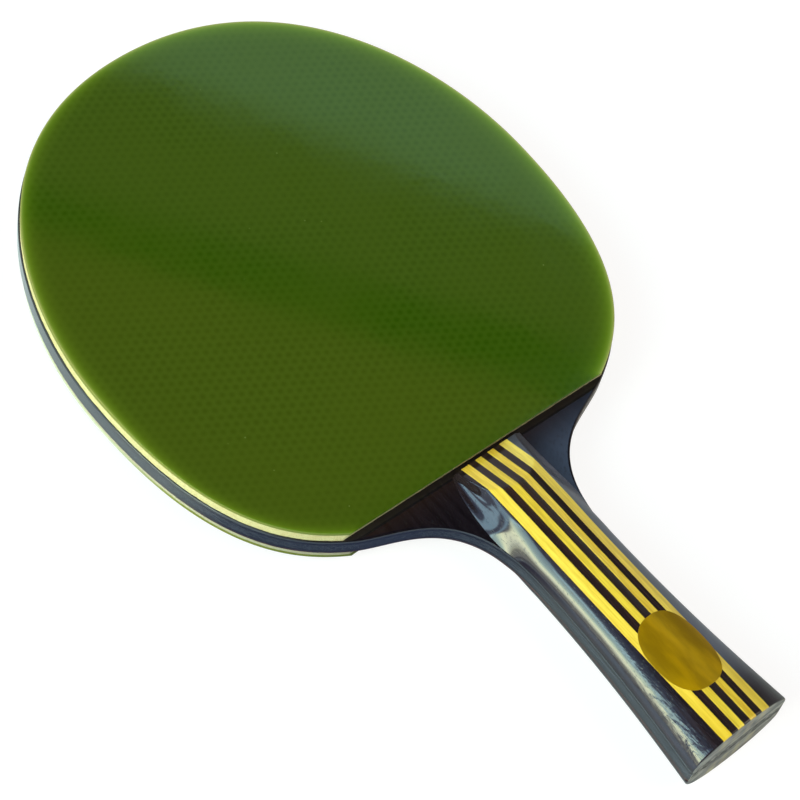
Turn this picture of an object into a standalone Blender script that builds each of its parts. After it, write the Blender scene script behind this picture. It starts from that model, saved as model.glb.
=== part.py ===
"""Table tennis bat with a flared handle glued up from light and dark strips.

Frame: metres. The origin is the centre of the butt's end face, halfway through the blade.
+Y runs up the handle to the tip of the head, +X to the right and +Z out of the front side.
Sizes below are in millimetres, and each piece is turned to metres where its mesh is made.
"""
import math

import bmesh
import bpy
import numpy as np

MM = 0.001

# Outline of the blade, seen from the front; each Y is a height above the butt's end face
BAT_LENGTH = 260.3
HEAD_WIDTH = 150.8
HEAD_WIDEST_Y = 172.4
SHOULDER_WIDTH = 90.8
SHOULDER_Y = 102.0
SHOULDER_SLOPE = 30.2
WAIST_WIDTH = 25.4
WAIST_Y = 62.4
BUTT_WIDTH = 33.9
BUTT_FLARE_SLOPE = 6.9

# How far each Bezier tangent of the outline reaches from its point
TIP_TANGENT = 53.0
UPPER_SIDE_TANGENT = 39.9
LOWER_SIDE_TANGENT = 48.6
SHOULDER_HEAD_TANGENT = 14.4
SHOULDER_NECK_TANGENT = 13.9
WAIST_NECK_TANGENT = 33.6
WAIST_FLARE_TANGENT = 25.3
BUTT_TANGENT = 17.0

# Layers, counted out from the middle of the blade
CORE_PLY = 2.2
INNER_PLY = 0.7
FACE_PLY = 0.5
FRONT_SPONGE = 2.4
BACK_SPONGE = 1.5
TOPSHEET = 1.0
GLUE_GAP = 0.3

# Rubber sheets: each is cut straight across by hand, a little out of square and leaning
RUBBER_INSET = 0.5
FRONT_EDGE_Y = 101.7
BACK_EDGE_Y = 102.6
RUBBER_EDGE_TURN = 1.05
SPONGE_SETBACK = 0.6

# Handle
BUTT_THICKNESS = 23.5
NECK_THICKNESS = 19.4
RAMP_CREST_Y = 87.4
RAMP_TOE_HEIGHT = 1.2
CHEEK_TAPER_Y = 77.0
CHEEK_TAPER_WIDTH = 28.2
CHEEK_TOE_WIDTH = 24.8
CHEEK_BLEND = 0.8
CROWN_EXPONENT = 2.02
BUTT_EDGE_RADIUS = 1.2

# Strips of each handle half, from the middle outwards
MIDDLE_DARK_STRIP = 2.2
INNER_YELLOW_STRIP = 2.2
OUTER_DARK_STRIP = 2.2
OUTER_YELLOW_STRIP = 2.8

# Foil badge on the front of the handle
BADGE_LENGTH = 24.3
BADGE_WIDTH = 16.8
BADGE_CENTRE_Y = 25.6
BADGE_SQUARENESS = 2.5
BADGE_FOIL = 0.15
BADGE_LIFT = 0.15

# Fineness of the facets, shading and joining of points
HEAD_STEPS = 16
SIDE_STEPS = 14
NECK_STEPS = 16
FLARE_STEPS = 8
ROUND_STEPS = 4
HANDLE_STATIONS = 20
STRIP_COLUMNS = 2
CHEEK_COLUMNS = 8
BADGE_RINGS = 4
BADGE_SPOKES = 36
SHARP_ANGLE = 25.0
WELD_DISTANCE = 0.01

BLADE_HALF = CORE_PLY / 2 + GLUE_GAP + INNER_PLY + GLUE_GAP + FACE_PLY
SEAT_Z = BLADE_HALF + GLUE_GAP
EDGE_SLOPE = math.tan(math.radians(RUBBER_EDGE_TURN))
HANDLE_END_Y = FRONT_EDGE_Y - CHEEK_TOE_WIDTH / 2 * EDGE_SLOPE - GLUE_GAP

YELLOW_WOOD = ("dyed yellow veneer", "#E8C63A", 0.35, 0.0)
DARK_WOOD = ("dark stained hardwood", "#33232A", 0.25, 0.0)
FACE_WOOD = ("black-brown stained veneer", "#231B1E", 0.2, 0.0)
EDGE_WOOD = ("slate stained veneer", "#454C58", 0.45, 0.0)
CORE_WOOD = ("stained light core wood", "#525C69", 0.5, 0.0)
GREEN_RUBBER = ("green natural rubber", "#43661A", 0.3, 0.0)
SPONGE_FOAM = ("cream sponge", "#DCD79A", 0.9, 0.0)
GOLD_FOIL = ("gold foil", "#A88A14", 0.35, 0.7)


def clear_scene():
    for old in list(bpy.data.objects):
        bpy.data.objects.remove(old, do_unlink=True)


def new_collection(name):
    collection = bpy.data.collections.new(name)
    bpy.context.scene.collection.children.link(collection)
    return collection


def to_linear(hex_colour):
    """sRGB hex colour as linear RGBA."""
    channels = [int(hex_colour[i:i + 2], 16) / 255 for i in (1, 3, 5)]
    linear = [c / 12.92 if c <= 0.04045 else ((c + 0.055) / 1.055) ** 2.4 for c in channels]
    return (*linear, 1.0)


def material_for(node_name, finish):
    """A Principled material of its own for one piece, in the given finish."""
    label, colour, roughness, metallic = finish
    material = bpy.data.materials.new(f"{label} {node_name}")
    material.use_nodes = True
    shader = material.node_tree.nodes["Principled BSDF"]
    shader.inputs["Base Color"].default_value = to_linear(colour)
    shader.inputs["Roughness"].default_value = roughness
    shader.inputs["Metallic"].default_value = metallic
    return material


def bezier(start, start_handle, end_handle, end, steps):
    """Points of one cubic Bezier stretch, without its last point."""
    t = np.linspace(0.0, 1.0, steps, endpoint=False)[:, None]
    points = (1 - t) ** 3 * np.array(start) + 3 * (1 - t) ** 2 * t * np.array(start_handle)
    return points + 3 * (1 - t) * t ** 2 * np.array(end_handle) + t ** 3 * np.array(end)


def corner_setback(y):
    """How far the rounded butt edge pulls a surface in, at a height y above the end face."""
    depth = np.clip(BUTT_EDGE_RADIUS - np.asarray(y, dtype=float), 0.0, None)
    return BUTT_EDGE_RADIUS - np.sqrt(BUTT_EDGE_RADIUS ** 2 - depth ** 2)


def round_heights():
    """Heights above the end face at which the rounded butt edge is drawn, top one first."""
    angles = np.linspace(0.0, math.pi / 2, ROUND_STEPS + 1)
    return BUTT_EDGE_RADIUS * (1 - np.sin(angles))


def head_outline():
    """Right half of the head's edge, from the tip down to the shoulder."""
    tip = (0.0, BAT_LENGTH)
    side = (HEAD_WIDTH / 2, HEAD_WIDEST_Y)
    shoulder = np.array([SHOULDER_WIDTH / 2, SHOULDER_Y])
    slope = math.radians(SHOULDER_SLOPE)
    outward = np.array([math.cos(slope), math.sin(slope)])
    upper = bezier(
        tip, (TIP_TANGENT, BAT_LENGTH), (side[0], side[1] + UPPER_SIDE_TANGENT), side, HEAD_STEPS)
    lower = bezier(
        side, (side[0], side[1] - LOWER_SIDE_TANGENT),
        shoulder + SHOULDER_HEAD_TANGENT * outward, shoulder, SIDE_STEPS)
    return np.vstack([upper, lower])


def neck_outline():
    """Right half of the neck and handle, from the shoulder down to the end face."""
    shoulder = np.array([SHOULDER_WIDTH / 2, SHOULDER_Y])
    slope = math.radians(SHOULDER_SLOPE)
    inward = -np.array([math.cos(slope), math.sin(slope)])
    waist = (WAIST_WIDTH / 2, WAIST_Y)
    butt = (BUTT_WIDTH / 2, 0.0)
    flare = math.radians(BUTT_FLARE_SLOPE)
    flare_handle = (butt[0] - BUTT_TANGENT * math.sin(flare), BUTT_TANGENT * math.cos(flare))
    neck = bezier(
        shoulder, shoulder + SHOULDER_NECK_TANGENT * inward,
        (waist[0], waist[1] + WAIST_NECK_TANGENT), waist, NECK_STEPS)
    flared = bezier(waist, (waist[0], waist[1] - WAIST_FLARE_TANGENT), flare_handle, butt, FLARE_STEPS)
    return np.vstack([neck, flared, [butt]])


def half_width(y):
    """Half the width of the blade at a height y on the neck or handle, butt edge rounded."""
    edge = neck_outline()[::-1]
    return np.interp(y, edge[:, 1], edge[:, 0]) - corner_setback(y)


def handle_half_width(y):
    """Half the width of a handle half: flush with the blade, then straight up to its toe."""
    flush = half_width(y)
    toe_share = (y - CHEEK_TAPER_Y) / (HANDLE_END_Y - CHEEK_TAPER_Y)
    straight = (CHEEK_TAPER_WIDTH + (CHEEK_TOE_WIDTH - CHEEK_TAPER_WIDTH) * toe_share) / 2
    rounding = np.sqrt((flush - straight) ** 2 + CHEEK_BLEND ** 2)
    return (flush + straight - rounding) / 2


def crown_height(y):
    """Height of the handle's crown over the middle of the blade, thinner towards the neck."""
    share = np.clip(y / RAMP_CREST_Y, 0.0, None)
    thickness = BUTT_THICKNESS + (NECK_THICKNESS - BUTT_THICKNESS) * share
    return thickness / 2 - corner_setback(y)


def oval_height(x, y):
    """Height of the handle's oval surface at x, y: a superellipse springing from the seat."""
    share = np.clip(np.abs(x) / handle_half_width(y), 0.0, 1.0)
    rise = (1 - share ** CROWN_EXPONENT) ** (1 / CROWN_EXPONENT)
    return SEAT_Z + (crown_height(y) - SEAT_Z) * rise


def closed_outline(right_half):
    """A closed outline from its right half, which starts on the middle line."""
    left_half = right_half * (-1, 1)
    return np.vstack([right_half, left_half[:0:-1]])


def blade_outline():
    """The whole blade's outline, with its butt corners rounded."""
    neck = neck_outline()
    sides = neck[neck[:, 1] > BUTT_EDGE_RADIUS]
    heights = round_heights()
    corner = np.column_stack([half_width(heights), heights])
    return closed_outline(np.vstack([head_outline(), sides, corner]))


def rubber_half(edge_y, slope):
    """Right half of the head's outline, drawn in by the inset and cut along a straight line."""
    edge = np.vstack([head_outline(), neck_outline()[:NECK_STEPS]])
    mirrored_start = edge[1] * (-1, 1)
    path = np.vstack([mirrored_start, edge])
    along = np.gradient(path, axis=0)[1:]
    along /= np.linalg.norm(along, axis=1)[:, None]
    inner = edge + RUBBER_INSET * np.column_stack([along[:, 1], -along[:, 0]])
    inner[0, 0] = 0.0
    above = inner[:, 1] - edge_y - slope * inner[:, 0]
    count = int(np.argmax(above < 0.0))
    share = above[count - 1] / (above[count - 1] - above[count])
    corner = inner[count - 1] + (inner[count] - inner[count - 1]) * share
    return np.vstack([inner[:count], corner])


def rubber_outline(edge_y, slope):
    """The rubber's whole outline. The slope turns its straight edge, up to the right."""
    right = rubber_half(edge_y, slope)
    left = rubber_half(edge_y, -slope) * (-1, 1)
    return np.vstack([right, left[:0:-1]])


def flat_piece(name, outline, low_z, high_z, finish, collection):
    """A flat layer: a filled 2D curve, extruded by half its thickness to each side."""
    curve = bpy.data.curves.new(name, "CURVE")
    curve.dimensions = "2D"
    curve.fill_mode = "BOTH"
    curve.extrude = (high_z - low_z) / 2 * MM
    spline = curve.splines.new("POLY")
    spline.points.add(len(outline) - 1)
    for point, (x, y) in zip(spline.points, outline):
        point.co = (x * MM, y * MM, 0.0, 1.0)
    spline.use_cyclic_u = True
    piece = bpy.data.objects.new(name, curve)
    piece.location.z = (low_z + high_z) / 2 * MM
    curve.materials.append(material_for(name, finish))
    collection.objects.link(piece)
    weld = piece.modifiers.new("weld caps", "WELD")
    weld.merge_threshold = WELD_DISTANCE * MM
    return piece


def mesh_piece(name, solid, finish, collection):
    """An object from a bmesh in millimetres, shaded smooth but for its real edges."""
    bmesh.ops.scale(solid, vec=(MM, MM, MM), verts=solid.verts)
    bmesh.ops.recalc_face_normals(solid, faces=solid.faces)
    mesh = bpy.data.meshes.new(name)
    solid.to_mesh(mesh)
    solid.free()
    mesh.shade_smooth()
    mesh.set_sharp_from_angle(angle=math.radians(SHARP_ANGLE))
    mesh.materials.append(material_for(name, finish))
    piece = bpy.data.objects.new(name, mesh)
    collection.objects.link(piece)
    return piece


def loft(sections):
    """A closed solid through rings of equal length, with a flat cap at each end."""
    solid = bmesh.new()
    rings = [[solid.verts.new(point) for point in section] for section in sections]
    for ring, following in zip(rings, rings[1:]):
        for j in range(len(ring)):
            k = (j + 1) % len(ring)
            solid.faces.new((ring[j], ring[k], following[k], following[j]))
    solid.faces.new(rings[0][::-1])
    solid.faces.new(rings[-1])
    return solid


def cut_ramp(solid):
    """Cuts the ramp that runs from the crest of the handle down to its toe at the rubber."""
    crest_z = float(crown_height(RAMP_CREST_Y))
    toe_z = SEAT_Z + RAMP_TOE_HEIGHT
    normal = (0.0, crest_z - toe_z, HANDLE_END_Y - RAMP_CREST_Y)
    everything = [*solid.verts, *solid.edges, *solid.faces]
    cut = bmesh.ops.bisect_plane(
        solid, geom=everything, plane_co=(0.0, RAMP_CREST_Y, crest_z), plane_no=normal, clear_outer=True)
    rim = [part for part in cut["geom_cut"] if isinstance(part, bmesh.types.BMEdge)]
    bmesh.ops.edgeloop_fill(solid, edges=rim)


def handle_stations():
    """Heights of the handle's sections: close together on the rounded butt edge, then even."""
    body = np.linspace(BUTT_EDGE_RADIUS, HANDLE_END_Y, HANDLE_STATIONS)
    return np.concatenate([round_heights()[:0:-1], body])


def strip_section(y, low_x, high_x):
    """Section of a straight strip at y: a flat seat, upright sides and the oval on top."""
    x = np.linspace(high_x, low_x, STRIP_COLUMNS + 1)
    top = [(x_i, y, z_i) for x_i, z_i in zip(x, oval_height(x, y))]
    return [(low_x, y, SEAT_Z), (high_x, y, SEAT_Z), *top]


def cheek_section(y, inner_x):
    """Section of a cheek at y: from its upright inner face out round the handle's side."""
    width = float(handle_half_width(y))
    start = math.asin((inner_x / width) ** (CROWN_EXPONENT / 2))
    angles = np.linspace(math.pi / 2, start, CHEEK_COLUMNS + 1)
    x = width * np.sin(angles) ** (2 / CROWN_EXPONENT)
    z = SEAT_Z + (crown_height(y) - SEAT_Z) * np.cos(angles) ** (2 / CROWN_EXPONENT)
    top = [(x_i, y, z_i) for x_i, z_i in zip(x[1:], z[1:])]
    return [(inner_x, y, SEAT_Z), (width, y, SEAT_Z), *top]


def handle_piece(name, sections, back, left, finish, collection):
    """One piece of a handle half, built on the front right side and turned to its own place."""
    solid = loft(sections)
    cut_ramp(solid)
    turn = (-1.0 if left else 1.0, 1.0, -1.0 if back else 1.0)
    bmesh.ops.scale(solid, vec=turn, verts=solid.verts)
    return mesh_piece(name, solid, finish, collection)


def strip_spans():
    """Name, finish and place of each straight strip, from left to right, gaps taken off."""
    inner = MIDDLE_DARK_STRIP / 2
    dark = inner + INNER_YELLOW_STRIP
    outer = dark + OUTER_DARK_STRIP
    edge = outer + OUTER_YELLOW_STRIP
    bounds = [-edge, -outer, -dark, -inner, inner, dark, outer, edge]
    spans = []
    for i, (low, high) in enumerate(zip(bounds, bounds[1:])):
        yellow = i % 2 == 0
        label = f"yellow_strip_{i // 2 + 1}" if yellow else f"dark_strip_{i // 2 + 1}"
        finish = YELLOW_WOOD if yellow else DARK_WOOD
        spans.append((label, finish, low + GLUE_GAP / 2, high - GLUE_GAP / 2))
    return spans


def build_handle_half(side, collection):
    """Seven straight strips and the two shaped cheeks outside them."""
    back = side == "back"
    stations = handle_stations()
    spans = strip_spans()
    for label, finish, low_x, high_x in spans:
        sections = [strip_section(y, low_x, high_x) for y in stations]
        handle_piece(f"{side}_{label}", sections, back, False, finish, collection)
    cheek_inner_x = spans[-1][3] + GLUE_GAP
    cheek_sections = [cheek_section(y, cheek_inner_x) for y in stations]
    for hand in ("left", "right"):
        handle_piece(f"{side}_cheek_{hand}", cheek_sections, back, hand == "left", DARK_WOOD, collection)


def build_blade(collection):
    """Five plies of one outline, glued face to face."""
    outline = blade_outline()
    core = CORE_PLY / 2
    inner_low = core + GLUE_GAP
    inner_high = inner_low + INNER_PLY
    face_low = inner_high + GLUE_GAP
    flat_piece("core_ply", outline, -core, core, CORE_WOOD, collection)
    flat_piece("front_inner_ply", outline, inner_low, inner_high, EDGE_WOOD, collection)
    flat_piece("back_inner_ply", outline, -inner_high, -inner_low, EDGE_WOOD, collection)
    flat_piece("front_face_ply", outline, face_low, BLADE_HALF, FACE_WOOD, collection)
    flat_piece("back_face_ply", outline, -BLADE_HALF, -face_low, FACE_WOOD, collection)


def build_rubber(side, sponge, edge_y, collection):
    """A sponge and a topsheet on one side of the head."""
    back = side == "back"
    slope = EDGE_SLOPE if back else -EDGE_SLOPE
    direction = -1.0 if back else 1.0
    sponge_high = SEAT_Z + sponge
    sheet_low = sponge_high + GLUE_GAP
    sheet_high = sheet_low + TOPSHEET
    sponge_heights = sorted((direction * SEAT_Z, direction * sponge_high))
    sheet_heights = sorted((direction * sheet_low, direction * sheet_high))
    sponge_outline = rubber_outline(edge_y + SPONGE_SETBACK, slope)
    sheet_outline = rubber_outline(edge_y, slope)
    flat_piece(f"{side}_sponge", sponge_outline, *sponge_heights, SPONGE_FOAM, collection)
    flat_piece(f"{side}_topsheet", sheet_outline, *sheet_heights, GREEN_RUBBER, collection)


def badge_layer(solid, lift):
    """Rings of points over the badge's oval, laid on the crown and raised by the lift."""
    rings = []
    for share in np.linspace(0.0, 1.0, BADGE_RINGS + 1)[1:]:
        angles = np.linspace(0.0, 2 * math.pi, BADGE_SPOKES, endpoint=False)
        across = np.sign(np.cos(angles)) * np.abs(np.cos(angles)) ** (2 / BADGE_SQUARENESS)
        along = np.sign(np.sin(angles)) * np.abs(np.sin(angles)) ** (2 / BADGE_SQUARENESS)
        x = share * BADGE_WIDTH / 2 * across
        y = BADGE_CENTRE_Y + share * BADGE_LENGTH / 2 * along
        z = oval_height(x, y) + lift
        rings.append([solid.verts.new(point) for point in zip(x, y, z)])
    centre_z = float(oval_height(0.0, BADGE_CENTRE_Y)) + lift
    return solid.verts.new((0.0, BADGE_CENTRE_Y, centre_z)), rings


def build_badge(collection):
    """An oval foil bent over the front of the handle."""
    solid = bmesh.new()
    layers = [badge_layer(solid, BADGE_LIFT), badge_layer(solid, BADGE_LIFT + BADGE_FOIL)]
    for centre, rings in layers:
        for j in range(BADGE_SPOKES):
            k = (j + 1) % BADGE_SPOKES
            solid.faces.new((centre, rings[0][j], rings[0][k]))
            for inner, outer in zip(rings, rings[1:]):
                solid.faces.new((inner[j], outer[j], outer[k], inner[k]))
    low_rim = layers[0][1][-1]
    high_rim = layers[1][1][-1]
    for j in range(BADGE_SPOKES):
        k = (j + 1) % BADGE_SPOKES
        solid.faces.new((low_rim[j], low_rim[k], high_rim[k], high_rim[j]))
    mesh_piece("handle_badge", solid, GOLD_FOIL, collection)


def main():
    clear_scene()
    collection = new_collection("table_tennis_bat")
    build_blade(collection)
    build_rubber("front", FRONT_SPONGE, FRONT_EDGE_Y, collection)
    build_rubber("back", BACK_SPONGE, BACK_EDGE_Y, collection)
    build_handle_half("front", collection)
    build_handle_half("back", collection)
    build_badge(collection)


main()
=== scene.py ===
"""Looks of a table tennis bat: glossy green rubbers on cream foam, a dark plywood blade and a
flared handle glued up from yellow and dark strips, all under clear lacquer.

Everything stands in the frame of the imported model: the origin is the centre of the butt's end
face, +Y runs to the tip of the head and +Z comes out of the front. Lengths are millimetres until
a mesh is made, and metres for the camera and the floor. Each piece is a stack of closed rings of
points, worked out as whole arrays.
"""
import math

import bmesh
import bpy
import numpy as np
from mathutils import Matrix


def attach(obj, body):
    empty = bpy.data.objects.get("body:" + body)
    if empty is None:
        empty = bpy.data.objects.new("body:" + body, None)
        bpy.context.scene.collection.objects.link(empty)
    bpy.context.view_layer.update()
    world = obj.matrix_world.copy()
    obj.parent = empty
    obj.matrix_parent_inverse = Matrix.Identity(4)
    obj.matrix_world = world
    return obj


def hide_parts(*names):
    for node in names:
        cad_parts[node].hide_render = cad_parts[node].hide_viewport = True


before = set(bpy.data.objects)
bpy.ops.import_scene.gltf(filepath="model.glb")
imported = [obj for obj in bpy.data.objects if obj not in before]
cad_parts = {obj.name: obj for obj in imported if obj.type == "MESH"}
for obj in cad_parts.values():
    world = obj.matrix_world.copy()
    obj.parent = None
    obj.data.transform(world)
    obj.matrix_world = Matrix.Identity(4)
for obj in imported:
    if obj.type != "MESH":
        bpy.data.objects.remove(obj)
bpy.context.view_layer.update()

MM = 0.001

# Outline of the blade's right half: points, reaches and steps of its four Bezier stretches
TIP_Y = 260.3
TIP_REACH = 53.0
SIDE = (75.4, 172.4)
SIDE_REACH_UP = 39.9
SIDE_REACH_DOWN = 48.6
SHOULDER = (45.4, 102.0)
SHOULDER_SLOPE = math.radians(30.2)
SHOULDER_REACH_UP = 14.4
SHOULDER_REACH_DOWN = 13.9
WAIST = (12.7, 62.4)
WAIST_REACH_UP = 33.6
WAIST_REACH_DOWN = 25.3
BUTT_HALF_WIDTH = 16.95
BUTT_FLARE = math.radians(6.9)
BUTT_REACH = 17.0
BUTT_ROUND = 0.6
OUTLINE_STEPS = (140, 100, 90, 60)

# Layers, as heights above the middle of the blade
CORE_TOP = 1.25
INNER_TOP = 2.2
FACE_TOP = 2.9
FRONT_FOAM_TOP = 5.8
FRONT_SHEET_TOP = 6.9
BACK_FOAM_TOP = 4.9
BACK_SHEET_TOP = 6.0

# Blade's edge: radius and steps of its rounding, the border that keeps the shading of the faces
# flat, and the heights up the bat between which the rounding sets in
BLADE_EDGE_ROUND = 0.3
BLADE_EDGE_STEPS = 5
FLAT_BORDER = 0.5
HEAD_START = (74.0, 84.0)

# Rubbers: cut across by hand, a little out of square, with the knife leaning in under the sheet
RUBBER_INSET = 0.5
FRONT_CUT_Y = 101.7
BACK_CUT_Y = 102.6
CUT_SLOPE = math.tan(math.radians(1.05))
CUT_LEAN = 0.27
CUT_RAGGED = 0.05
CUT_WAVES = ((0.7, 0.5), (1.9, 0.3), (4.3, 0.3), (7.7, 0.2))
ROUND_HALF_POINTS = 260
STRAIGHT_POINTS = 119
FOAM_STEPS = 7
SHEET_WALL_STEPS = 4
SHEET_EDGE_ROUND = 0.12
SHEET_EDGE_STEPS = 4
SHEET_MIDDLE_Y = 170.0
SHEET_SHARES = (
    0.997, 0.993, 0.988, 0.982, 0.974, 0.964, 0.95, 0.93, 0.9, 0.84, 0.7, 0.5, 0.25, 0.02)

# Where the sheet's painted rim glow is weaker and stronger, how its depth is counted there, and
# where painted light turns its wall paler
DIM_X = (-40, 20)
DIM_Y = (125, 175)
DIM_STRETCH = 0.3
DIM_SHIFT = 0.8
LIT_X = (-20, 40)
LIT_SHRINK = 0.35
PALE_LOW = 0.5
PALE_Y = (95, 135)
PALE_BACK_Y = (140, 175)

# Handle
HALF_THICK_BUTT = 11.735
HALF_THICK_CREST = 9.7
CREST_Y = 87.4
TOE_HEIGHT = 1.5
HANDLE_END_Y = 101.25
CROWN_EXPONENT = 2.02
CREASE_ROUND = 0.1
STRIP_EDGES = (-8.2, -5.4, -3.26, -1.11, 1.11, 3.26, 5.4, 8.2)
STRIP_POINTS = 7
CREASE_SPAN = (84.0, 96.0)
ROUND_STATIONS = 9
LOW_STATIONS = 90
CREASE_STATIONS = 90
END_STATIONS = 12

# Feet of the cheeks: half width and how much it narrows towards the head, over which heights.
# Lower down the foot line moves out by its release, so that the cheek is flush with the blade.
LEFT_FOOT = (14.6, 3.5)
LEFT_TAPER_START = 72.0
LEFT_TAPER_POWER = 2.9
RIGHT_FOOT = (14.5, 1.25)
RIGHT_TAPER = (70.0, 98.0)
FOOT_RELEASE = 8.0
FOOT_RELEASE_SPAN = (40.0, 66.0)
FOOT_BLEND = 0.7
BEVEL_START = (65.0, 80.0)
BEVEL_TOP_SLOPE = 0.6
BEVEL_FOOT_SLOPE = 0.75
BEVEL_HOLLOW = 1.0
HOLLOW_START = 77.0
HOLLOW_LENGTH = 34.0
CHEEK_POINTS = 40

# Badge
BADGE_CENTRE = (0.2, 25.6)
BADGE_HALF = (8.35, 12.1)
BADGE_SQUARENESS = 2.5
BADGE_POINTS = 144
GLUE_LIFT = 0.01
GLUE_SHARES = (0.01, 0.3, 0.6, 0.8, 0.9, 1.0)
FOIL_LIFT = 0.07
FOIL_SHARES = (1.0, 0.99, 0.9, 0.8, 0.6, 0.3, 0.01)

# Pimples under the sheet: a triangular lattice in rows up the bat
PIMPLE_PITCH = 2.607
PIMPLE_TURN = math.radians(-0.5)
PIMPLE_PLACE = (1.086, 0.507)

# How deep the painted glow of light from the sheet's rim reaches, and how wide the painted
# highlight along its very edge is
RIM_GLOW_DEPTH = 1.5
EDGE_GLOW_DEPTH = 0.3

# Heights up the bat between which the wood's finish changes, and its painted sheen
SAWN_END = (0.03, 0.12)
WORN_END = (4.0, 54.0)
HAZE_AND_SHEEN_START = (4.0, 24.0)
HAZE_AND_SHEEN_END = (88.0, 97.0)
AMBER_END = (0.0, 34.0)
UNDER_RUBBER = (103.0, 125.0)

# Heights above the middle of the blade between which a face veneer's side turns into its face
VENEER_EDGE = (2.65, 2.88)

# Points of a piece that are closer than this become one
MERGE_DISTANCE = 0.0005


def linear(hex_colour, level=1.0):
    """sRGB hex colour as linear RGBA, its light multiplied by a level."""
    channels = [int(hex_colour[i:i + 2], 16) / 255 for i in (1, 3, 5)]
    values = [c / 12.92 if c <= 0.04045 else ((c + 0.055) / 1.055) ** 2.4 for c in channels]
    return (*(value * level for value in values), 1.0)


# ---- curves and outlines ----


def bezier(start, start_reach, end_reach, end, steps):
    """Cubic Bezier: the four points weighted by (1-t)^3, 3(1-t)^2 t, 3(1-t) t^2 and t^3."""
    t = np.linspace(0.0, 1.0, steps)[:, None]
    weights = [(1 - t) ** 3, 3 * (1 - t) ** 2 * t, 3 * (1 - t) * t ** 2, t ** 3]
    points = [start, start_reach, end_reach, end]
    return sum(weight * np.array(point, dtype=float) for weight, point in zip(weights, points))


def right_half():
    """Right half of the blade's outline from the tip to the butt, as four Bezier stretches."""
    side_x, side_y = SIDE
    waist_x, waist_y = WAIST
    shoulder = np.array(SHOULDER)
    out = np.array([math.cos(SHOULDER_SLOPE), math.sin(SHOULDER_SLOPE)])
    up, down = shoulder + SHOULDER_REACH_UP * out, shoulder - SHOULDER_REACH_DOWN * out
    flare = (BUTT_HALF_WIDTH - BUTT_REACH * math.sin(BUTT_FLARE), BUTT_REACH * math.cos(BUTT_FLARE))
    points = [
        ((0, TIP_Y), (TIP_REACH, TIP_Y), (side_x, side_y + SIDE_REACH_UP), SIDE),
        (SIDE, (side_x, side_y - SIDE_REACH_DOWN), up, shoulder),
        (shoulder, down, (waist_x, waist_y + WAIST_REACH_UP), WAIST),
        (WAIST, (waist_x, waist_y - WAIST_REACH_DOWN), flare, (BUTT_HALF_WIDTH, 0.0)),
    ]
    stretches = [bezier(*four, steps) for four, steps in zip(points, OUTLINE_STEPS)]
    return np.vstack([stretches[0], *(stretch[1:] for stretch in stretches[1:])])


HALF = right_half()


def inset_half(inset):
    """The right half moved in by a distance along its own normal, kept on the middle line."""
    along = np.gradient(np.vstack([HALF[1] * (-1, 1), HALF]), axis=0)[1:]
    along /= np.linalg.norm(along, axis=1)[:, None]
    inward = np.column_stack([along[:, 1], -along[:, 0]])
    moved = HALF + np.reshape(inset, (-1, 1)) * inward
    moved[0, 0] = 0.0
    return moved


def smooth_step(value, low, high):
    """0 below low, 1 above high, and 3t^2 - 2t^3 between."""
    t = np.clip((value - low) / (high - low), 0.0, 1.0)
    return t * t * (3 - 2 * t)


def blade_half_width(y):
    """Half width of the blade at height y, read off the outline."""
    return np.interp(y, HALF[::-1, 1], HALF[::-1, 0])


def butt_setback(y):
    """Pull-in of the rounded butt edge: the radius less the root of radius squared less depth
    squared."""
    depth = np.clip(BUTT_ROUND - np.asarray(y, dtype=float), 0.0, BUTT_ROUND)
    return BUTT_ROUND - np.sqrt(BUTT_ROUND ** 2 - depth ** 2)


def blade_ring(inset, z):
    """The blade's outline at height z, with rounded butt corners, moved in by the inset on the
    head only, because the handle's sides are sanded flush."""
    half = inset_half(inset * smooth_step(HALF[:, 1], *HEAD_START))
    half[:, 0] -= butt_setback(half[:, 1])
    half[-1, 1] = 0.0
    ring = np.vstack([half, half[:0:-1] * (-1, 1)])
    return np.column_stack([ring, np.full(len(ring), z)])


def cut_half(inset, cut_y, slope):
    """The head's right half down to the line y = cut_y + slope x, at even steps along it."""
    half = inset_half(inset)
    above = half[:, 1] - cut_y - slope * half[:, 0]
    last = int(np.argmax(above < 0.0))
    share = above[last - 1] / (above[last - 1] - above[last])
    corner = half[last - 1] + (half[last] - half[last - 1]) * share
    path = np.vstack([half[:last], corner])
    length = np.concatenate([[0.0], np.cumsum(np.linalg.norm(np.diff(path, axis=0), axis=1))])
    even = np.linspace(0.0, length[-1], ROUND_HALF_POINTS)
    return np.column_stack([np.interp(even, length, path[:, i]) for i in (0, 1)])


def ragged(ring, size):
    """Small sideways wander of a knife cut: sines of the place along the outline."""
    place = np.cumsum(np.linalg.norm(np.diff(ring, axis=0, append=ring[:1]), axis=1))
    waves = sum(np.sin(place * pace + pace * pace) * height for pace, height in CUT_WAVES)
    along = np.gradient(ring, axis=0)
    along /= np.linalg.norm(along, axis=1)[:, None]
    return size * waves[:, None] * np.column_stack([along[:, 1], -along[:, 0]])


def rubber_ring(inset, z, cut_y, slope, rough=0.0):
    """The rubber's outline: both cut halves and the straight edge between their corners."""
    right = cut_half(inset, cut_y, slope)
    left = cut_half(inset, cut_y, -slope) * (-1, 1)
    share = np.linspace(0.0, 1.0, STRAIGHT_POINTS + 2)[1:-1, None]
    ring = np.vstack([right, right[-1] + (left[-1] - right[-1]) * share, left[:0:-1]])
    ring = ring + ragged(ring, rough)
    return np.column_stack([ring, np.full(len(ring), z)])


# ---- meshes ----


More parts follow.
